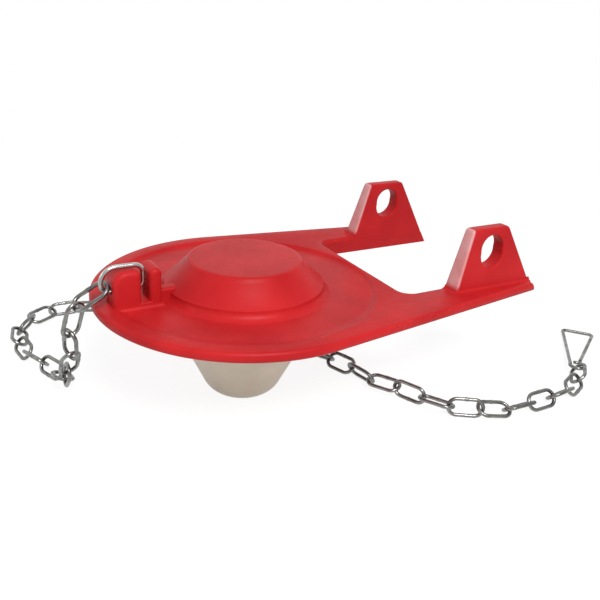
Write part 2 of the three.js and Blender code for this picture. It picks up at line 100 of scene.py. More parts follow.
def add_piece(name, points_mm, faces, material, smooth_angle=None):
    """Puts points in millimetres and faces into a mesh in metres. The faces' own order makes them point
    outwards. Edges sharper than smooth_angle, in degrees, stay crisp."""
    mesh = bpy.data.meshes.new(name)
    points = np.asarray(points_mm, dtype=float).reshape(-1, 3) * MM
    mesh.from_pydata(points.tolist(), [], [list(map(int, face)) for face in faces])
    mesh.update()
    mesh.validate()
    piece = bpy.data.objects.new(name, mesh)
    bpy.context.scene.collection.objects.link(piece)
    mesh.materials.append(material)
    mesh.shade_smooth()
    if smooth_angle is not None:
        mesh.set_sharp_from_angle(angle=np.radians(smooth_angle))
    return piece


def loft_piece(name, rows, material, smooth_angle=35):
    """Closed outlines stacked as the rows of one grid. The first and the last outline are filled flat."""
    rows = np.asarray(rows)
    count, columns = rows.shape[:2]
    faces = grid_faces(count, columns).tolist()
    faces.append(list(range(columns))[::-1])
    faces.append(list(range((count - 1) * columns, count * columns)))
    return add_piece(name, rows, faces, material, smooth_angle)


print("a grid of 3 rows and 4 columns has", len(grid_faces(3, 4)), "faces")


# %% Outlines and paths
def arc(centre_x, centre_y, radius, start, end, steps):
    """Points at even angles, in degrees, on a circle about a centre: centre + radius * (cos, sin)."""
    angle = np.radians(np.linspace(start, end, steps + 1))
    return np.column_stack([centre_x + radius * np.cos(angle), centre_y + radius * np.sin(angle)])


def lift(outline, height):
    """A flat outline of (x, y) at one height."""
    return np.column_stack([outline, np.full(len(outline), height)])


def even_stations(path, count):
    """The same path with its points spread evenly, by interpolation over the length run so far."""
    steps = np.linalg.norm(np.diff(path, axis=0), axis=1)
    run = np.concatenate([[0.0], np.cumsum(steps)])
    wanted = np.linspace(0.0, run[-1], count)
    return np.column_stack([np.interp(wanted, run, path[:, k]) for k in range(path.shape[1])])


print("a quarter circle in 3 steps has", len(arc(0, 0, 1, 0, 90, 3)), "points")

# %% Turned shapes, cuts and wires
POLE = 0.05  # mm from the axis, where a turned profile ends and its last small circle is filled flat


def turned_rows(profile, segments):
    """A surface of revolution: each (radius, height) of the profile becomes a circle about Z."""
    angle = np.linspace(0.0, 2 * np.pi, segments, endpoint=False)
    radius, height = np.asarray(profile).T
    x = radius[:, None] * np.cos(angle)
    y = radius[:, None] * np.sin(angle)
    return np.stack([x, y, np.broadcast_to(height[:, None], x.shape)], axis=-1)


def cut(piece, cutter, smooth_angle=35):
    """Takes the cutter out of the piece and removes the cutter."""
    knife = piece.modifiers.new("cut", "BOOLEAN")
    knife.operation, knife.solver, knife.object = "DIFFERENCE", "EXACT", cutter
    bpy.context.view_layer.update()
    solved = piece.evaluated_get(bpy.context.evaluated_depsgraph_get())
    mesh = bpy.data.meshes.new_from_object(solved)
    piece.modifiers.clear()
    piece.data = mesh
    bpy.data.objects.remove(cutter)
    mesh.shade_smooth()
    mesh.set_sharp_from_angle(angle=np.radians(smooth_angle))
    return piece


def wire_points(path, normals, radius, sides, closed):
    """A round wire: at every station a circle of the wire's radius, square to the path. The path lies
    flat, so one side direction is the path's own normal and the other is its tangent crossed with it."""
    if closed:
        tangent = np.roll(path, -1, axis=0) - np.roll(path, 1, axis=0)
    else:
        tangent = np.gradient(path, axis=0)
    tangent /= np.linalg.norm(tangent, axis=1, keepdims=True)
    side = np.cross(tangent, normals)
    side /= np.linalg.norm(side, axis=1, keepdims=True)
    angle = np.linspace(0.0, 2 * np.pi, sides, endpoint=False)
    ring = np.cos(angle)[None, :, None] * side[:, None] + np.sin(angle)[None, :, None] * normals[:, None]
    return path[:, None] + radius * ring


print("a cone turned in 8 segments:", turned_rows([[POLE, 1], [1, 0]], 8).shape)

# %% [markdown]
# ## Shader arithmetic
# A material's pattern is a sum of masks and noises. Written as nodes it is hard to read, so one small
# class wraps a socket and turns Python's own operators into Math nodes. Numbers alone stay in Python.


# %% Sockets that can be added and multiplied
class Wave:
    """One output socket of a value. Adding, taking away and multiplying build a Math node each."""

    def __init__(self, shader, socket):
        self.shader, self.socket = shader, socket

    def __add__(self, other):
        return self.shader.math("ADD", self, other)

    def __sub__(self, other):
        return self.shader.math("SUBTRACT", self, other)

    def __rsub__(self, other):
        return self.shader.math("SUBTRACT", other, self)

    def __mul__(self, other):
        return self.shader.math("MULTIPLY", self, other)

    __radd__, __rmul__ = __add__, __mul__

    def ramp(self, low, high):
        """0 at low, 1 at high, and an S-curve in between."""
        settings = {"interpolation_type": "SMOOTHSTEP", "clamp": True}
        inputs = {0: self, 1: low, 2: high, 3: 0.0, 4: 1.0}
        return self.shader.node("ShaderNodeMapRange", settings, inputs)

    def ramp_mm(self, low, high):
        """The same ramp over a length, with its ends in millimetres."""
        return self.ramp(low * MM, high * MM)


print("reflected operators:", [name for name in vars(Wave) if name.startswith("__r")])


# %% Materials from expressions
class Shader:
    """A new material with one Principled surface, whose constant sockets are given by name."""

    def __init__(self, name, **constants):
        self.material = bpy.data.materials.new(name)
        self.material.use_nodes = True
        self.tree = self.material.node_tree
        self.surface = self.tree.nodes["Principled BSDF"]
        for socket, value in constants.items():
            self.surface.inputs[socket.replace("_", " ")].default_value = value
        place = self.tree.nodes.new("ShaderNodeTexCoord")
        self.place = Wave(self, place.outputs["Object"])

    def node(self, kind, settings=None, inputs=None, output=0):
        """Adds a node, sets its settings first, then gives each input a value or a link."""
        node = self.tree.nodes.new(kind)
        for key, value in (settings or {}).items():
            setattr(node, key, value)
        for key, value in (inputs or {}).items():
            if isinstance(value, Wave):
                self.tree.links.new(value.socket, node.inputs[key])
            else:
                node.inputs[key].default_value = value
        return Wave(self, node.outputs[output])

    def math(self, operation, *values):
        """One Math node of any operation."""
        return self.node("ShaderNodeMath", {"operation": operation}, dict(enumerate(values)))

    def noise(self, per_metre, detail=3.0, roughness=0.5):
        """Cloudy noise from 0 to 1 with so many lumps per metre."""
        inputs = {"Vector": self.place, "Scale": per_metre, "Detail": detail, "Roughness": roughness}
        return self.node("ShaderNodeTexNoise", {"normalize": True}, inputs)

    def axis(self, name):
        """One coordinate of the place on the object, in metres."""
        return self.node("ShaderNodeSeparateXYZ", None, {0: self.place}, name)

    def mix(self, amount, first, second):
        """Two colours mixed by an amount from 0 to 1."""
        inputs = {0: amount, 6: first, 7: second}
        return self.node("ShaderNodeMix", {"data_type": "RGBA", "clamp_factor": True}, inputs, 2)

    def feed(self, socket, value):
        """Links a value into the surface."""
        self.tree.links.new(value.socket, self.surface.inputs[socket])

    def bump(self, height, distance_mm, strength):
        """Turns a height from 0 to 1 into dents of so many millimetres, for the surface's normal."""
        inputs = {"Height": height, "Distance": distance_mm * MM, "Strength": strength}
        self.feed("Normal", self.node("ShaderNodeBump", None, inputs, "Normal"))


print("methods:", [name for name in vars(Shader) if not name.startswith("_")])

# %% [markdown]
# ## Sizes of the moulding
# The disc and the ears share a few heights and places, in millimetres. The rubber's pattern follows them
# as well, so they come before the materials: how high the disc lies, how thick it is, and the ears' four
# sides.

# %% Shared sizes
PLATE_RADIUS, PLATE_THICKNESS, UNDERSIDE = 45.0, 3.1, 32.4
TOP = UNDERSIDE + PLATE_THICKNESS
EAR_HEIGHT, EAR_TOP_THICKNESS, EAR_FOOT_THICKNESS = 18.8, 4.0, 5.7
EAR_FOOT_FRONT, EAR_TOP_FRONT, EAR_TOP_REAR, EAR_FOOT_REAR = 56.0, 61.3, 75.6, 86.4
FRONT_LEAN = (EAR_TOP_FRONT - EAR_FOOT_FRONT) / EAR_HEIGHT
REAR_LEAN = (EAR_FOOT_REAR - EAR_TOP_REAR) / EAR_HEIGHT
print("disc's top at", TOP, "mm; ears lean by", round(FRONT_LEAN, 3), "and", round(REAR_LEAN, 3))

# %% [markdown]
# ## Red moulded rubber
# The disc, hub, ears and lug are one moulding of red rubber. Close up it is not one red: the skin has
# faint cloudy changes of colour, a fine orange-peel grain from the mould, and a dull bloom in tiny pale
# specks where the arms leave the disc. The ears' sloping fronts get a pale painted sheen, a painted
# highlight of light glancing off them. The grain goes into a bump and into the roughness, so light
# breaks up softly on it.

# %% Rubber
RUBBER_RED = (0.58, 0.020, 0.023, 1.0)
RUBBER_DEEP = (0.46, 0.012, 0.015, 1.0)
RUBBER_BLOOM = (0.58, 0.13, 0.12, 1.0)
# The palest pink is a painted highlight: the sheen of light on the ears' sloping fronts.
RUBBER_PAINTED_SHEEN = (0.78, 0.44, 0.44, 1.0)
CLOUDS, PATCHES, PEEL, SPECKS, GRAIN = 55.0, 160.0, 520.0, 1500.0, 2300.0  # lumps in a metre
BLOOM_OUTSIDE, BLOOM_STARTS, BLOOM_ENDS = (39.0, 41.0), (12.0, 34.0), (46.0, 60.0)  # mm, soft edges
SHEEN_DEPTH, SHEEN_STARTS = (0.25, 0.9), (0.5, 2.5)  # mm, from the ears' front plane and over the disc


def red_rubber():
    """Deep and bright red mixed by a slow cloud, pale bloom where a speckle meets the arm roots' mask,
    and a pale painted highlight, a sheen painted where the distance from the ears' front plane,
    x - (front + lean * rise), is near zero."""
    rubber = Shader("red_rubber", Roughness=0.42, Specular_IOR_Level=0.12)
    cloud = rubber.noise(CLOUDS, detail=4.0)
    grain = rubber.noise(GRAIN, detail=2.0)
    peel = rubber.noise(PEEL, detail=3.0)
    specks = rubber.noise(SPECKS, detail=2.0, roughness=0.7).ramp(0.50, 0.66)
    patchy = rubber.noise(PATCHES, detail=3.0).ramp(0.35, 0.7)
    x, y, rise = rubber.axis("X"), rubber.axis("Y"), rubber.axis("Z") - TOP * MM
    outside = rubber.math("SQRT", x * x + y * y).ramp_mm(*BLOOM_OUTSIDE)
    arm_roots = x.ramp_mm(*BLOOM_STARTS) * (1.0 - x.ramp_mm(*BLOOM_ENDS))
    flat_top = 1.0 - rise.ramp_mm(0.3, 1.0)
    bloom = specks * outside * arm_roots * flat_top * (patchy * 0.6 + 0.4)
    behind = rubber.math("ABSOLUTE", x - EAR_FOOT_FRONT * MM - rise * FRONT_LEAN)
    # Painted highlight: the ears' sloping fronts are painted pale where light glances off them.
    painted_sheen = (1.0 - behind.ramp_mm(*SHEEN_DEPTH)) * rise.ramp_mm(*SHEEN_STARTS)
    base = rubber.mix(cloud.ramp(0.3, 0.75), RUBBER_DEEP, RUBBER_RED)
    dusted = rubber.mix(bloom * 0.22, base, RUBBER_BLOOM)
    rubber.feed("Base Color", rubber.mix(painted_sheen * (patchy * 0.25 + 0.6), dusted, RUBBER_PAINTED_SHEEN))
    rubber.feed("Roughness", peel * 0.16 + bloom * 0.18 + 0.33)
    rubber.bump(grain * 0.3 + peel * 0.7, distance_mm=0.05, strength=0.6)
    return rubber.material


RUBBER = red_rubber()

# %% [markdown]
# ## Beige float plastic
# The float is thin blow-moulded plastic. It lets a little light through, so it looks soft and milky, and
# its colour drifts from cream to a greyer beige. Faint rings from the mould run round it.

# %% Float plastic
FLOAT_CREAM = (0.76, 0.69, 0.55, 1.0)
FLOAT_GREY = (0.66, 0.595, 0.475, 1.0)
FLOAT_CLOUDS, FLOAT_GRAIN = 60.0, 1100.0  # lumps in a metre
MOULD_RINGS = 5200.0  # radians in a metre of height, which is a ring every 1.2 mm


def float_plastic():
    """Cream and grey mixed by a cloud, with a weak bump of rings: a wave of the height alone."""
    skin = {"Specular_IOR_Level": 0.4, "Subsurface_Weight": 0.25, "Subsurface_Scale": 2.0 * MM}
    plastic = Shader("float_plastic", **skin)
    cloud = plastic.noise(FLOAT_CLOUDS, detail=3.0)
    fine = plastic.noise(FLOAT_GRAIN, detail=2.0)
    rings = plastic.math("SINE", plastic.axis("Z") * MOULD_RINGS)
    plastic.feed("Base Color", plastic.mix(cloud.ramp(0.3, 0.7), FLOAT_GREY, FLOAT_CREAM))
    plastic.feed("Roughness", fine * 0.2 + 0.32)
    plastic.bump(fine * 0.6 + rings * 0.2, distance_mm=0.04, strength=0.5)
    return plastic.material


FLOAT = float_plastic()

# %% [markdown]
# ## Steel wire
# The links, the ring and the hook are bent from drawn steel wire. Drawing leaves a fine grain on it, and
# handling leaves duller patches, so the roughness drifts with the colour. One function makes a shaded and
# a lit copy of the same steel, each from a light and a dark grey: the chain and its hook get dark greys,
# painted shade for the dark surroundings they mirror, and the ring gets light greys, a painted highlight
# for its bright glints.

# %% Wire
# Painted shade and painted highlight: the chain's greys are darkened and the ring's are lightened.
SHADED_CHAIN_LIGHT, SHADED_CHAIN_DARK = (0.27, 0.27, 0.263, 1.0), (0.105, 0.101, 0.098, 1.0)
LIT_RING_LIGHT, LIT_RING_DARK = (0.56, 0.57, 0.55, 1.0), (0.30, 0.30, 0.28, 1.0)
TARNISH, DRAWN_GRAIN = 260.0, 2600.0  # lumps in a metre


def steel_wire(name, light, dark):
    """Light and dark grey metal mixed by a patchy noise, which makes the dark patches rougher too."""
    wire = Shader(name, Metallic=1.0)
    tarnish = wire.noise(TARNISH, detail=3.0, roughness=0.55).ramp(0.36, 0.72)
    fine = wire.noise(DRAWN_GRAIN, detail=2.0)
    wire.feed("Base Color", wire.mix(tarnish * 0.75, light, dark))
    wire.feed("Roughness", tarnish * 0.16 + fine * 0.08 + 0.20)
    wire.bump(fine, distance_mm=0.008, strength=0.3)
    return wire.material


# The chain and hook take the painted-shade copy, the ring the painted-highlight copy.
SHADED_WIRE = steel_wire("steel_wire", SHADED_CHAIN_LIGHT, SHADED_CHAIN_DARK)
LIT_WIRE = steel_wire("lit_steel_wire", LIT_RING_LIGHT, LIT_RING_DARK)
print("materials:", [finish.name for finish in (RUBBER, FLOAT, SHADED_WIRE, LIT_WIRE)])

# %% [markdown]
# ## The disc with its two arms
# Seen from above, the outline is most of a circle, then two straight sides that leave it as tangents, two
# arm ends and a gap with round corners for the overflow pipe. The same outline drawn in a little gives
# the rounded edges, so the whole disc is one stack of outlines.

# %% Outline of disc and arms
LIP_WIDTH, LIP_HEIGHT, LIP_SLOPE = 5.3, 1.1, 1.0
FIELD = TOP - LIP_HEIGHT
ARM_END, GAP_HALF, GAP_FRONT, GAP_CORNER, ARM_CORNER = 8.2, 25.4, 41.2, 4.0, 1.4
ARM_SPREAD = GAP_HALF + ARM_END
ARM_REACH = EAR_FOOT_REAR + REAR_LEAN * PLATE_THICKNESS
TANGENT = np.degrees(
    np.arctan2(ARM_SPREAD, ARM_REACH) + np.arccos(PLATE_RADIUS / np.hypot(ARM_REACH, ARM_SPREAD))
)
EDGE_ROUND = 1.2


def arm_side(x, inset):
    """How far a line inset from the arm's outer side stands off the middle line at x: a tangent of a
    circle about the middle whose radius is the disc's less the inset."""
    angle = np.radians(TANGENT)
    return (PLATE_RADIUS - inset - x * np.cos(angle)) / np.sin(angle)


def straight(start, end, steps):
    """Points between two ends, without either."""
    t = np.arange(1, steps) / steps
    return np.array(start) + t[:, None] * (np.array(end) - np.array(start))


def mirrored(far_half):
    """A closed outline, anticlockwise, from the half on the far side, which starts on the middle line."""
    return np.concatenate([far_half[::-1], far_half[1:] * [1.0, -1.0]])


def outside_half(inset, reach):
    """The far half's outer edge from the front round the nose, along the arm and round the arm's end."""
    corner_x = reach - ARM_CORNER
    outer_y = arm_side(corner_x, ARM_CORNER)
    inner_y = min(GAP_HALF + ARM_CORNER, outer_y)
    nose = arc(0, 0, PLATE_RADIUS - inset, 180, TANGENT, 110)
    outer = arc(corner_x, outer_y, ARM_CORNER - inset, TANGENT, 0, 6)
    inner = arc(corner_x, inner_y, ARM_CORNER - inset, 0, -90, 6)
    return np.concatenate([nose, straight(nose[-1], outer[0], 14), outer, inner])


def body_outline(inset, reach):
    """Disc and arms drawn in by inset, with the arms cut off at reach."""
    outside = outside_half(inset, reach)
    gap = arc(GAP_FRONT + GAP_CORNER, GAP_HALF - GAP_CORNER, GAP_CORNER + inset, 90, 180, 14)
    return mirrored(np.concatenate([outside, straight(outside[-1], gap[0], 12), gap]))


def rounded_levels(low, high, radius, steps=5):
    """(inset, height) pairs of an upright wall whose two edges are quarter circles of a radius."""
    turn = np.radians(np.linspace(0, 90, steps + 1))
    inset = radius * (1 - np.sin(turn))
    rise = radius * (1 - np.cos(turn))
    foot = np.column_stack([inset, low + rise])
    head = np.column_stack([inset[::-1], high - rise[::-1]])
    return np.concatenate([foot, head])


def reach_at(height):
    """The arms' ends lean forwards as they rise."""
    return ARM_REACH - REAR_LEAN * (height - UNDERSIDE)


print("tangents leave the disc at", round(float(TANGENT), 2), "degrees from its rear")

# %% Disc
levels = rounded_levels(UNDERSIDE, TOP, EDGE_ROUND, steps=6)
disc = loft_piece("disc", [lift(body_outline(inset, reach_at(z)), z) for inset, z in levels], RUBBER)
print("disc:", len(levels), "outlines and", len(disc.data.polygons), "faces")

# %% [markdown]
# ## The shallow round inside the lip
# The disc's top is sunk by a millimetre inside a wide lip, which runs on into the arms' flat tops. The
# round is cut out with a turned tool whose side has a hollow foot, a short slope and a flare that rounds
# the crest.

# %% Round recess
CREST = PLATE_RADIUS - LIP_WIDTH
FOOT_HOLLOW, CREST_FLARE, RECESS_SEGMENTS = 0.8, 0.45, 256


def recess_profile():
    """The cutting tool's radius and height: a floor, a side and a lid above the disc. The side leans by
    the lip's slope, with a fifth power added at the foot and an eighth power taken off at the crest."""
    t = np.linspace(0, 1, 15)
    lean = LIP_SLOPE * (1 - t) + FOOT_HOLLOW * (1 - t) ** 5 - CREST_FLARE * t**8
    side = np.column_stack([CREST - lean, FIELD + (LIP_HEIGHT + 0.02) * t])
    floor = np.column_stack([np.linspace(POLE, side[0, 0] - 2, 8), np.full(8, FIELD)])
    return np.concatenate([floor, side, [[side[-1, 0], TOP + 2], [POLE, TOP + 2]]])


cut(disc, loft_piece("recess", turned_rows(recess_profile(), RECESS_SEGMENTS), RUBBER), smooth_angle=30)
print("recess", round(2 * CREST, 1), "mm across,", LIP_HEIGHT, "mm deep")

# %% [markdown]
# ## The ribs under the arms
# A rib under each arm's inner edge keeps the arm stiff, and its side view slopes down from the gap's
# front. Side views stacked across the arm make it, and it reaches a little way up into the disc.

# %% Arm ribs
RIB_DEPTH, RIB_WIDTH, RIB_ROUND, RIB_SUNK = 2.8, 2.6, 0.4, 1.4


def rib_rows(side):
    """Side views of the rib under an arm, stacked across it, with a quarter circle at both ends."""
    rows = []
    front, low, high = GAP_FRONT - RIB_WIDTH, UNDERSIDE - RIB_DEPTH, UNDERSIDE + RIB_SUNK
    for inset, y in rounded_levels(GAP_HALF + 0.05, GAP_HALF + RIB_WIDTH, RIB_ROUND, steps=4):
        flat = [[front + inset, high], [front + 2 * RIB_DEPTH + inset, low + inset]]
        flat += [[reach_at(low) - inset, low + inset], [reach_at(high) - inset, high]]
        rows.append([[x, y * side, z] for x, z in flat])
    return np.array(rows)


ribs = [
    loft_piece("far_arm_rib", rib_rows(1)[::-1], RUBBER),
    loft_piece("near_arm_rib", rib_rows(-1), RUBBER),
]
print("ribs", RIB_DEPTH, "mm deep")

# %% [markdown]
# ## The hub
# In the middle a hub rises from the sunk round. It is turned: one profile of radius and height goes round
# the axis. The profile has a hollow at the hub's foot, a slightly sagging flank and a rounded top edge.

# %% Hub
HUB_BASE, HUB_TOP, HUB_HEIGHT, HUB_TOP_ROUND, HUB_FOOT_ROUND = 23.8, 17.4, 8.5, 1.4, 2.6
HUB_CEILING = TOP + HUB_HEIGHT
HUB_SAG, TURNED_SEGMENTS = 1.6, 192


def hub_profile():
    """Radius and height from the hub's foot up to its middle: arcs joined by a flank that follows a
    quadratic curve, (1 - t)^2 low + 2 t (1 - t) bend + t^2 high."""
    foot = arc(HUB_BASE + HUB_FOOT_ROUND, FIELD + 0.01 + HUB_FOOT_ROUND, HUB_FOOT_ROUND, 270, 180, 14)
    low, high = foot[-1], np.array([HUB_TOP + HUB_TOP_ROUND * 0.3, HUB_CEILING - HUB_TOP_ROUND])
    bend = np.array([HUB_BASE - HUB_SAG, FIELD + HUB_FOOT_ROUND + 1])
    t = np.linspace(0, 1, 13)[1:, None]
    flank = (1 - t) ** 2 * low + 2 * t * (1 - t) * bend + t**2 * high
    crest = arc(HUB_TOP - HUB_TOP_ROUND, HUB_CEILING - HUB_TOP_ROUND, HUB_TOP_ROUND, 20, 90, 8)
    top = np.column_stack([np.linspace(HUB_TOP - 3, POLE, 12), np.full(12, HUB_CEILING)])
    start = [[foot[0, 0] + 0.01, FIELD - 1.0]]
    return np.concatenate([start, foot, flank, crest, top])


hub = loft_piece("hub", turned_rows(hub_profile(), TURNED_SEGMENTS), RUBBER)
print("hub stands", round(HUB_CEILING - FIELD, 2), "mm over the field")

# %% [markdown]
# ## The sealing ridge underneath
# Under the disc a tapered ring closes the flush opening. It is turned like the hub, with rounded edges on
# its flat face, and it can be seen only from below.

# %% Sealing ridge
SEAL_RADIUS, SEAL_HEIGHT, SEAL_FOOT, SEAL_ROOT, SEAL_ROUND, SEAL_SUNK = 35.0, 1.8, 2.4, 6.0, 0.4, 0.5


def seal_profile():
    """Half the outline, down the outer slope and round the face's edge, and its mirror image inside."""
    face = UNDERSIDE - SEAL_HEIGHT
    edge = arc(SEAL_FOOT / 2 - SEAL_ROUND, face + SEAL_ROUND, SEAL_ROUND, -30, -90, 5)
    outer = np.concatenate([[[SEAL_ROOT / 2, UNDERSIDE + SEAL_SUNK]], edge])
    inner = outer[::-1] * [-1.0, 1.0]
    return np.concatenate([outer, inner]) + [SEAL_RADIUS, 0.0]


seal_rows = turned_rows(seal_profile(), TURNED_SEGMENTS)[::-1]
seal_faces = grid_faces(*seal_rows.shape[:2], close_rows=True)
seal = add_piece("sealing_ridge", seal_rows, seal_faces, RUBBER, smooth_angle=35)
print("ridge face at", round(UNDERSIDE - SEAL_HEIGHT, 2), "mm")

# %% [markdown]
# ## The two hinge ears
# Each ear is a wedge with a sloping front and rear and an oblong hole for the overflow pipe's peg. A
# surface with a hole through it is a ring: one parameter goes round the hole, the other goes across the
# section, from the hole over the inner face, round the rim, back over the outer face and through the
# hole. Nothing is cut.

# %% Ear outlines as rays from the hole's middle
HOLE_X, HOLE_RISE, HOLE_WIDTH, HOLE_TALL = 69.4, 11.4, 8.6, 10.2
EAR_ROUND, HOLE_ROUND, EAR_SUNK, EAR_PROUD, EAR_SPOKES = 0.75, 0.5, 3.0, 0.02, 288
hole_middle = np.array([HOLE_X, TOP + HOLE_RISE])
low_edge, high_edge = TOP - EAR_SUNK, TOP + EAR_HEIGHT


def edge_lines():
    """The trapezoid's four sides as (outward normal, distance from the hole's middle)."""
    front = np.array([EAR_FOOT_FRONT - FRONT_LEAN * EAR_SUNK, low_edge, EAR_TOP_FRONT, high_edge])
    rear = np.array([EAR_TOP_REAR, high_edge, EAR_FOOT_REAR + REAR_LEAN * EAR_SUNK, low_edge])
    rear[[0, 2]] += EAR_PROUD
    upwards = np.array([0.0, 1.0])
    lines = [(upwards, high_edge - hole_middle[1]), (-upwards, hole_middle[1] - low_edge)]
    for x0, z0, x1, z1 in (front, rear):
        normal = np.array([z0 - z1, x1 - x0])
        normal = normal / np.linalg.norm(normal)
        lines.append((normal, float(np.dot(np.array([x0, z0]) - hole_middle, normal))))
    return lines


def ear_rim(angle, inset, sharpness=26.0):
    """Where rays from the hole's middle meet the trapezoid drawn in by inset. The nearest side wins, and
    the power mean of the four distances with a high negative power rounds the corners."""
    ray = np.column_stack([np.cos(angle), np.sin(angle)])
    total = np.zeros(len(angle))
    for normal, distance in edge_lines():
        total += (np.maximum(ray @ normal, 1e-9) / (distance - inset)) ** sharpness
    return hole_middle + ray * total[:, None] ** (-1 / sharpness)


def peg_hole(angle, inset):
    """Where the same rays meet the oblong hole: a circle of the hole's half width drawn apart along Z."""
    radius, apart = HOLE_WIDTH / 2 - inset, (HOLE_TALL - HOLE_WIDTH) / 2
    cosine, sine = np.cos(angle), np.abs(np.sin(angle))
    reach = apart * sine + np.sqrt(radius**2 - (apart * cosine) ** 2)
    reach = np.minimum(reach, radius / np.maximum(np.abs(cosine), 1e-9))
    return hole_middle + np.column_stack([np.cos(angle), np.sin(angle)]) * reach[:, None]


print("ear's sides from the hole:", [round(distance, 2) for normal, distance in edge_lines()], "mm")


# %% Ear surface
def ear_rows(side):
    """Rows across the section, from the hole over the inner face to the rim, and the same back over the
    outer face. The rounded edges are quarter circles of inset and dip, the depth under the face."""
    angle = np.linspace(0, 2 * np.pi, EAR_SPOKES, endpoint=False)
    turn = np.radians(np.linspace(0, 90, 6))
    curve = list(zip(1 - np.sin(turn), 1 - np.cos(turn)))
    section = [(peg_hole(angle, -HOLE_ROUND * a), HOLE_ROUND * b) for a, b in curve[::-1]]
    for t in (0.25, 0.5, 0.75):
        face = peg_hole(angle, -HOLE_ROUND) * (1 - t) + ear_rim(angle, EAR_ROUND) * t
        section.append((face, 0.0))
    section += [(ear_rim(angle, EAR_ROUND * a), EAR_ROUND * b) for a, b in curve]
    rows = []
    for flat, dip in section:
        inner = np.full(len(flat), GAP_HALF - EAR_PROUD + dip)
        rows.append(np.column_stack([flat[:, 0], inner * side, flat[:, 1]]))
    for flat, dip in section[::-1]:
        rise = (flat[:, 1] - TOP) / EAR_HEIGHT
        thickness = EAR_FOOT_THICKNESS + (EAR_TOP_THICKNESS - EAR_FOOT_THICKNESS) * rise
        outer = GAP_HALF + thickness - dip
        rows.append(np.column_stack([flat[:, 0], outer * side, flat[:, 1]]))
    return np.stack(rows)


print("an ear's rows, points and coordinates:", ear_rows(1.0).shape)

# %% [markdown]
# ## Hollow feet where the ears and the lug grow out of the disc
# Rubber moulded in one piece has no sharp inner corner. A thin strip with a hollow section follows each
# foot: a profile carried along a path, where the path turns a corner on the line that halves it.

# %% Hollow strips
STRIP_IN, STRIP_DOWN, EAR_STRIP, LUG_STRIP = 0.5, 0.3, 1.0, 1.2


def hollow_strip(name, path, radius, height):
    """Carries a hollow quarter circle along a flat path. Its outer end lies on the disc, its inner end on
    the wall, and two more points are sunk so that the strip is closed. At a corner the offset grows as
    one over the cosine of half the turn."""
    path = np.asarray(path, dtype=float)
    run = np.diff(path, axis=0)
    run /= np.linalg.norm(run, axis=1, keepdims=True)
    out = np.column_stack([run[:, 1], -run[:, 0]])
    before, after = np.vstack([out[:1], out]), np.vstack([out, out[-1:]])
    half = before + after
    half /= (half * before).sum(axis=1, keepdims=True)
    turn = np.radians(np.linspace(0, 90, 9))
    a = radius * (1 - np.sin(turn))
    b = radius * (1 - np.cos(turn))
    sunk = [[-STRIP_IN, radius], [-STRIP_IN, -STRIP_DOWN], [radius, -STRIP_DOWN]]
    section = np.concatenate([np.column_stack([a, b]), sunk])
    points = path[:, None] + half[:, None] * section[None, :, :1]
    heights = np.broadcast_to(height + section[None, :, 1:], (*points.shape[:2], 1))
    return loft_piece(name, np.concatenate([points, heights], axis=2), RUBBER, smooth_angle=50)


print("strips of", EAR_STRIP, "and", LUG_STRIP, "mm")

# %% Both ears with their feet
rubber_pieces = [disc, *ribs, hub, seal]
for side, name in ((1.0, "far"), (-1.0, "near")):
    rows = ear_rows(side)
    faces = grid_faces(*rows.shape[:2], close_rows=True)
    ear = add_piece(f"{name}_ear", rows, faces if side > 0 else faces[:, ::-1], RUBBER, 40)
    inner, outer = GAP_HALF + 0.4, GAP_HALF + EAR_FOOT_THICKNESS
    foot = np.array([[EAR_FOOT_FRONT, inner], [EAR_FOOT_FRONT, outer], [EAR_FOOT_REAR, outer]])
    foot = foot * [1.0, side]
    strip = hollow_strip(f"{name}_ear_foot", foot if side < 0 else foot[::-1], EAR_STRIP, TOP)
    rubber_pieces += [ear, strip]
print("rubber pieces so far:", len(rubber_pieces))

# %% [markdown]
# ## The lug
# The chain's ring goes through the front block, up the slot and back over the top. The blocks are stacked
# outlines again, this time side views stacked across the disc with rounded rims, and the ring's hole is
# cut. One hollow strip runs round the foot of both blocks and the slot's floor, and ends under the web.


# %% Lug sizes and side views
LUG_HALF, LUG_HEIGHT, LUG_ROUND = 4.2, 10.2, 1.4
LUG_FRONT, LUG_FRONT_LENGTH, LUG_SLOT, LUG_REAR_LENGTH = -40.6, 8.0, 2.2, 3.6
RING_HOLE_RADIUS, RING_HOLE_RISE, RING_SIDE, RING_HOLE_POINTS = 1.4, 4.6, -1.4, 32
slot_front = LUG_FRONT + LUG_FRONT_LENGTH
slot_rear = slot_front + LUG_SLOT
lug_rear = slot_rear + LUG_REAR_LENGTH


def block_rows(x0, x1, height, front_radius, rear_radius, half, edge):
    """Side views of a block with two rounded top corners, drawn in at both ends by a quarter circle."""
    rows = []
    base, top = FIELD - 1.0, TOP + height
    for inset, y in rounded_levels(-half, half, edge, steps=7):
        left, right, roof = x0 + inset, x1 - inset, top - inset
        rf, rr = max(front_radius - inset, 0.1), max(rear_radius - inset, 0.1)
        back = arc(right - rr, roof - rr, rr, 0, 90, 10)
        front = arc(left + rf, roof - rf, rf, 90, 180, 12)
        floor = np.array([[left, base], [right, base]])
        flat = np.concatenate([[floor[1]], back, straight(back[-1], front[0], 5), front, [floor[0]]])
        rows.append(np.column_stack([flat[:, 0], np.full(len(flat), y), flat[:, 1]]))
    return np.stack(rows)


print("lug blocks", round(lug_rear - LUG_FRONT, 2), "mm long")

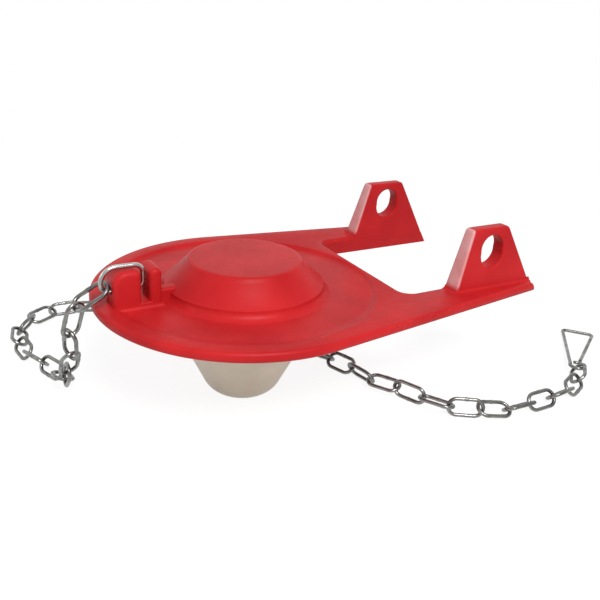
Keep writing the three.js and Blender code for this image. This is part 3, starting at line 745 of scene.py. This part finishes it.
# %% Lug blocks, hole and foot
blocks = {
    # name: front, rear, height over the disc, front and rear radius, half the width, edge radius
    "lug_front": (LUG_FRONT, slot_front, LUG_HEIGHT, 4.2, 1.8, LUG_HALF, LUG_ROUND),
    "lug_rear": (slot_rear, lug_rear, LUG_HEIGHT, 1.8, 1.7, LUG_HALF, LUG_ROUND),
    "lug_slot_floor": (slot_front - 1, slot_rear + 1, 0.6, 0.2, 0.2, 4.1, 0.3),
    "lug_web": (lug_rear - 1, -HUB_TOP, 3.0, 1.0, 1.0, 1.8, 0.9),
}
lug = {name: loft_piece(name, block_rows(*sizes)[::-1], RUBBER) for name, sizes in blocks.items()}
angle = np.linspace(0, 2 * np.pi, RING_HOLE_POINTS, endpoint=False)
circle = np.column_stack([np.cos(angle), np.sin(angle)]) * RING_HOLE_RADIUS
circle += [RING_SIDE, TOP + RING_HOLE_RISE]
drill_ends = (-PLATE_RADIUS, slot_front + 1.6)
drill_rows = [np.column_stack([np.full(RING_HOLE_POINTS, x), circle]) for x in drill_ends]
cut(lug["lug_front"], loft_piece("ring_hole", drill_rows, RUBBER))
far_half = [[lug_rear, 1.0], [lug_rear, LUG_HALF], [LUG_FRONT, LUG_HALF]]
near_half = [[x, -y] for x, y in far_half[::-1]]
rubber_pieces += [*lug.values(), hollow_strip("lug_foot", far_half + near_half, LUG_STRIP, FIELD)]
print("rubber pieces:", [piece.name for piece in rubber_pieces])

# %% [markdown]
# ## The float
# A thin shell, turned like the hub: a flat foot, a round corner, a straight tapered wall, a shoulder
# under the disc and a collar that snaps into the hub. The wall is closed inside and outside.

# %% Float
FOOT_RADIUS, FLOAT_TOP, FLOAT_SLOPE, FLOAT_WALL, SEAT_GAP = 5.4, 25.5, 0.48, 1.6, 0.3
COLLAR_RADIUS, COLLAR_HEIGHT, FLOAT_SEGMENTS = 18.4, 5.4, 160


def float_profile():
    """Outside from the foot's middle up to the collar, then down inside. The corner's radius is the one
    that meets both the flat foot and the wall as a tangent."""
    shoulder = UNDERSIDE - SEAT_GAP
    lean = np.degrees(np.arctan(FLOAT_SLOPE))
    cosine = np.cos(np.radians(lean))
    reach = FLOAT_TOP - FLOAT_SLOPE * shoulder
    corner = (reach - FOOT_RADIUS) / (1 / cosine - FLOAT_SLOPE)
    outer = arc(FOOT_RADIUS, corner, corner, -90, -lean, 20)
    inner = arc(FOOT_RADIUS, corner, corner - FLOAT_WALL, -lean, -90, 14)
    wall_top = shoulder - FLOAT_WALL * 1.5
    bore = COLLAR_RADIUS - FLOAT_WALL
    collar_top = UNDERSIDE + COLLAR_HEIGHT
    # The shoulder with its broken edge, the collar, the bore and the bore's widened lower end.
    upper = [
        [FLOAT_TOP - 0.1, shoulder - 0.6], [FLOAT_TOP - 0.1, shoulder - 0.3], [FLOAT_TOP - 0.4, shoulder],
        [COLLAR_RADIUS, shoulder], [COLLAR_RADIUS, collar_top], [bore, collar_top],
        [bore, wall_top + 1.0], [bore + 1.0, wall_top],
    ]
    wall = straight(outer[-1], upper[0], 10)
    return np.concatenate([[[POLE, 0.0]], outer, wall, upper, inner, [[POLE, FLOAT_WALL]]])


float_rows = turned_rows(float_profile(), FLOAT_SEGMENTS)
float_cup = loft_piece("float_shell", float_rows, FLOAT, smooth_angle=40)
print("float reaches", UNDERSIDE, "mm below the disc's underside")

# %% [markdown]
# ## Ring, chain and hook
# All three are round wire. The ring's and the hook's paths are known from their bends. A link's path is
# two half circles joined by straight sides, and its place comes from the CAD node with the same number:
# the node's points have a middle, a longest direction and a broadest one, which are the link's own axes.


# %% Ring
RING_WIRE, RING_CORNER, RING_SHOULDER, LINK_WIRE = 1.35, 2.4, 4.4, 1.2
RING_PLAY, RING_DROP, RING_STATIONS, RING_FACETS = 0.1, 0.3, 120, 14
ring_right = slot_front + LUG_SLOT / 2
ring_left = LUG_FRONT - 2 * SEAT_GAP - LINK_WIRE - RING_WIRE / 2 - RING_PLAY
ring_low = TOP + RING_HOLE_RISE - RING_DROP
ring_high = TOP + LUG_HEIGHT + SEAT_GAP + RING_WIRE / 2


def closed_stations(loop, count):
    """Even stations on a loop, without the last one, which would repeat the first."""
    return even_stations(np.vstack([loop, loop[:1]]), count + 1)[:-1]


r, shoulder = RING_CORNER, RING_SHOULDER
corners = [
    arc(ring_right - r, ring_high - r, r, 0, 90, 12),
    arc(ring_left + shoulder, ring_high - shoulder, shoulder, 90, 180, 16),
    arc(ring_left + r, ring_low + r, r, 180, 270, 12),
    arc(ring_right - r, ring_low + r, r, 270, 360, 12),
]
flat_ring = closed_stations(np.concatenate(corners), RING_STATIONS)
ring_path = np.column_stack([flat_ring[:, 0], np.full(RING_STATIONS, RING_SIDE), flat_ring[:, 1]])
sideways = np.tile([0.0, 1.0, 0.0], (RING_STATIONS, 1))
ring_points = wire_points(ring_path, sideways, RING_WIRE / 2, RING_FACETS, closed=True)
ring_faces = grid_faces(RING_STATIONS, RING_FACETS, close_rows=True)
ring = add_piece("ring", ring_points, ring_faces, LIT_WIRE)
print("ring", round(ring_right - ring_left, 2), "by", round(ring_high - ring_low, 2), "mm, wire middles")

# %% One link
LINK_LENGTH, LINK_WIDTH, LINK_STATIONS, LINK_FACETS = 11.9, 6.4, 72, 10
WELD_REACH, WELD_SWELL = 0.45, 0.16
link_radius = (LINK_WIDTH - LINK_WIRE) / 2
straight_half = (LINK_LENGTH - LINK_WIDTH) / 2
ends = [arc(straight_half, 0, link_radius, -90, 90, 24), arc(-straight_half, 0, link_radius, 90, 270, 24)]
flat_link = closed_stations(np.concatenate(ends), LINK_STATIONS)
link_path = np.column_stack([flat_link, np.zeros(LINK_STATIONS)])
upright = np.tile([0.0, 0.0, 1.0], (LINK_STATIONS, 1))
link_rings = wire_points(link_path, upright, LINK_WIRE / 2, LINK_FACETS, closed=True)

# The weld is a bell curve, exp(-(x / reach)^2), that swells the wire in the middle of one straight side.
weld = np.exp(-((flat_link[:, 0] / WELD_REACH) ** 2)) * (flat_link[:, 1] > 0)
swell = 1 + WELD_SWELL * weld[:, None, None]
link_rings = link_path[:, None] + (link_rings - link_path[:, None]) * swell
print("one link:", LINK_STATIONS * LINK_FACETS, "points")


# %% Every link on its CAD node
def node_axes(name):
    """Points and axes of a CAD node in millimetres. The axes are the eigenvectors of the points'
    covariance, in order from the direction of the widest spread to that of the narrowest."""
    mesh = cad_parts[name].data
    points = np.empty(len(mesh.vertices) * 3)
    mesh.vertices.foreach_get("co", points)
    points = np.unique(np.round(points.reshape(-1, 3) / MM, 3), axis=0)
    axes = np.linalg.eigh(np.cov((points - points.mean(axis=0)).T))[1][:, ::-1]
    axes[:, 2] = np.cross(axes[:, 0], axes[:, 1])
    return points, axes


link_faces = grid_faces(LINK_STATIONS, LINK_FACETS, close_rows=True)
link_names = sorted(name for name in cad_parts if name.startswith("chain_link_"))
all_points, all_faces = [], []
for number, name in enumerate(link_names):
    points, axes = node_axes(name)
    all_points.append(points.mean(axis=0) + link_rings.reshape(-1, 3) @ axes.T)
    all_faces.append(link_faces + number * LINK_STATIONS * LINK_FACETS)
chain = add_piece("pull_chain", np.concatenate(all_points), np.concatenate(all_faces), SHADED_WIRE)
print("links:", len(link_names))

# %% Hook's path
HOOK_LENGTH, HOOK_WIDTH, HOOK_CORNER, HOOK_EYE = 33.0, 10.8, 1.5, 2.5
EYE_STARTS, EYE_ENDS, TAIL_END, HOOK_STATIONS, HOOK_FACETS = 28, -290, [4.3, -0.9], 260, 12


def hook_path():
    """The eye, most of a circle run clockwise, a long side, the two corners and the other side back."""
    half, r = HOOK_WIDTH / 2, HOOK_CORNER
    eye = arc(0, 0, HOOK_EYE, EYE_STARTS, EYE_ENDS, 60)
    upper = arc(HOOK_LENGTH - r, half - r, r, 90, 0, 10)
    lower = arc(HOOK_LENGTH - r, -half + r, r, 0, -90, 10)
    bends = np.concatenate([eye, upper, lower, [TAIL_END]])
    return np.column_stack([even_stations(bends, HOOK_STATIONS), np.zeros(HOOK_STATIONS)])


hook_line = hook_path()
upright = np.tile([0.0, 0.0, 1.0], (HOOK_STATIONS, 1))
hook_tube = wire_points(hook_line, upright, LINK_WIRE / 2, HOOK_FACETS, closed=False)
print("hook's path", round(float(np.ptp(hook_line[:, 0])), 2), "mm long")

# %% Hook on its CAD node
points, axes = node_axes("chain_hook")

# An axis has no sign of its own. The long one is turned so that the points' third moment along it, which
# tells the eye's end from the wide end, has the same sign as the path's. The flat one is turned upwards.
along = (points - points.mean(axis=0)) @ axes[:, 0]
model = hook_line[:, 0] - hook_line[:, 0].mean()
if np.sign((along**3).mean()) != np.sign((model**3).mean()):
    axes[:, 0] *= -1
if axes[2, 2] < 0:
    axes[:, 2] *= -1
axes[:, 1] = np.cross(axes[:, 2], axes[:, 0])
shift = points.mean(axis=0) - hook_line.mean(axis=0) @ axes.T
hook = loft_piece("hook", hook_tube @ axes.T + shift, SHADED_WIRE, smooth_angle=40)
print("hook's middle at", points.mean(axis=0).round(1))

# %% [markdown]
# ## Riding and replacing
# Every new piece moves with the one body of this part and stands for the CAD node it was made for. Those
# nodes keep their collision in the physics model.

# %% Ride and replace
for piece in rubber_pieces:
    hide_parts("flapper_body")
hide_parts("float_cup")
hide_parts("lug_ring")
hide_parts(*link_names)
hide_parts("chain_hook")
for piece in [*rubber_pieces, float_cup, ring, chain, hook]:
    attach(piece, "root")

# %% [markdown]
# ## Floor and light
# The photograph has a white ground and soft light. The floor is a pale sheet that still shows the
# object's shadow. To the camera it is lifted towards white, and so is the world, while both light the
# object only as much as a pale room would. A big lamp stands in front and above, a weak one on the left.

# %% Floor
FLOOR_GLOW, FLOOR_LIFT = 1.2, 0.74
FLOOR_HALF, FLOOR_Z, FLOOR_MIDDLE, FADE = 600.0, -0.1, 40.0, (200.0, 420.0)  # mm


def stage_floor():
    """A pale diffuse sheet. Camera rays and mirror-like rays see it mixed with white light of its own,
    and it fades away with the distance from the object, so that no edge or horizon shows against the
    white world. Its underside is clear, so that the object can be looked at from below."""
    sheet = Shader("floor", Roughness=0.9, Specular_IOR_Level=0.1)
    sheet.surface.inputs["Base Color"].default_value = (0.78, 0.78, 0.78, 1.0)
    path = sheet.tree.nodes.new("ShaderNodeLightPath").outputs
    seen = sheet.math("MAXIMUM", *(Wave(sheet, path[ray]) for ray in ("Is Camera Ray", "Is Glossy Ray")))
    glow = {"Color": (1.0, 1.0, 1.0, 1.0), "Strength": FLOOR_GLOW}
    white = sheet.node("ShaderNodeEmission", None, glow)
    clear = sheet.node("ShaderNodeBsdfTransparent")
    matt = Wave(sheet, sheet.surface.outputs[0])
    mixer = "ShaderNodeMixShader"
    near = sheet.node(mixer, None, {0: seen * FLOOR_LIFT, 1: matt, 2: white})
    x, y = sheet.axis("X") - FLOOR_MIDDLE * MM, sheet.axis("Y")
    far = sheet.math("SQRT", x * x + y * y).ramp_mm(*FADE)
    below = sheet.node("ShaderNodeNewGeometry", None, None, "Backfacing")
    faded = sheet.node(mixer, None, {0: sheet.math("MAXIMUM", far, below), 1: near, 2: clear})
    sheet.tree.links.new(faded.socket, sheet.tree.nodes["Material Output"].inputs["Surface"])
    corners = [[x * FLOOR_HALF, y * FLOOR_HALF, FLOOR_Z] for x, y in ((-1, -1), (1, -1), (1, 1), (-1, 1))]
    floor = add_piece("floor", corners, [[0, 1, 2, 3]], sheet.material)


stage_floor()
print("floor fades out between", FADE, "mm")


# %% World
def white_world(light, seen, dim):
    """The sky is white to the camera, and dimmer where it lights the object. Mirror-like rays see the
    white backdrop behind the object, +Y, a dim room on the other side, and a slope between the two."""
    world = bpy.data.worlds.new("room")
    world.use_nodes = True
    tree = world.node_tree
    path = tree.nodes.new("ShaderNodeLightPath").outputs

    def between(amount, low, high, span=(0.0, 1.0)):
        """A Map Range node from low to high, each a number or a link, as the amount crosses its span."""
        node = tree.nodes.new("ShaderNodeMapRange")
        tree.links.new(amount, node.inputs[0])
        node.inputs[1].default_value, node.inputs[2].default_value = span
        for slot, value in ((3, low), (4, high)):
            if isinstance(value, float):
                node.inputs[slot].default_value = value
            else:
                tree.links.new(value, node.inputs[slot])
        return node.outputs[0]

    direction = tree.nodes.new("ShaderNodeSeparateXYZ")
    tree.links.new(tree.nodes.new("ShaderNodeTexCoord").outputs["Generated"], direction.inputs[0])
    backdrop = between(direction.outputs["Y"], dim, seen, span=(-0.5, 0.3))
    mirrored_room = between(path["Is Glossy Ray"], light, backdrop)
    behind_glass = between(path["Is Transmission Ray"], mirrored_room, seen)
    ground = tree.nodes["Background"]
    tree.links.new(between(path["Is Camera Ray"], behind_glass, seen), ground.inputs["Strength"])
    ground.inputs["Color"].default_value = (1.0, 1.0, 1.0, 1.0)
    bpy.context.scene.world = world


white_world(light=0.36, seen=1.0, dim=0.5)
print("world:", bpy.context.scene.world.name)


# %% Lamps
def area_lamp(name, place_mm, aim_mm, size_mm, watts):
    """A square soft lamp at a place, turned to look at its aim."""
    data = bpy.data.lights.new(name, "AREA")
    data.shape, data.size, data.energy = "SQUARE", size_mm * MM, watts
    lamp = bpy.data.objects.new(name, data)
    place, aim = np.array(place_mm) * MM, np.array(aim_mm) * MM
    back = (place - aim) / np.linalg.norm(place - aim)
    right = np.cross([0.0, 0.0, 1.0], back)
    right /= np.linalg.norm(right)
    turn = np.eye(4)
    turn[:3, :3] = np.column_stack([right, np.cross(back, right), back])
    turn[:3, 3] = place
    lamp.matrix_world = Matrix(turn.tolist())
    bpy.context.scene.collection.objects.link(lamp)


area_lamp("front_lamp", (-60, -455, 530), (20, 0, 30), 240, 3.8)
area_lamp("left_lamp", (-560, 60, 260), (20, 0, 40), 240, 0.3)
